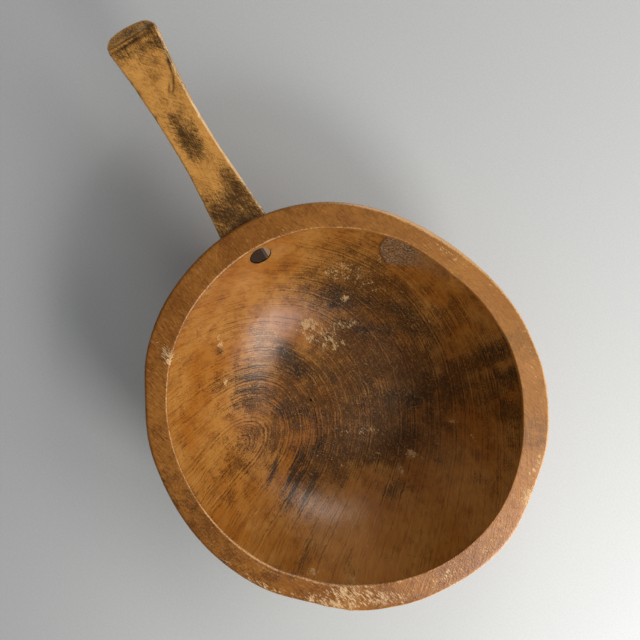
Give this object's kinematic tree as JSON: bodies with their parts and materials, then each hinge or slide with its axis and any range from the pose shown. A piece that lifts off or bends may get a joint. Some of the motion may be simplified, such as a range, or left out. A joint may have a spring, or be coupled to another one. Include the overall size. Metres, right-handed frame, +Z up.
{
  "type": "handled wooden bowl",
  "caption": "Hand-carved round wooden bowl with a thick flat rim and a separate flat paddle handle, tenoned through the wall below the rim.",
  "frame": {"origin": "centre of the foot, on the surface that the bowl stands on", "axes": "+Z up out of the bowl's mouth, +X along the handle away from the bowl, +Y to the left of someone looking along the handle from the bowl"},
  "size_m": [0.4904, 0.2953, 0.1008],
  "materials": {
    "bowl_wood": "oiled, satin, dark mineral stains and worn pale spots",
    "handle_wood": "worn smooth by the hand, dark grime patches",
    "wedge_wood": "greyed end grain"
  },
  "bodies": {
    "root": {"bowl_body": "bowl_wood", "handle": "handle_wood", "tenon_wedge": "wedge_wood"}
  },
  "joints": []
}
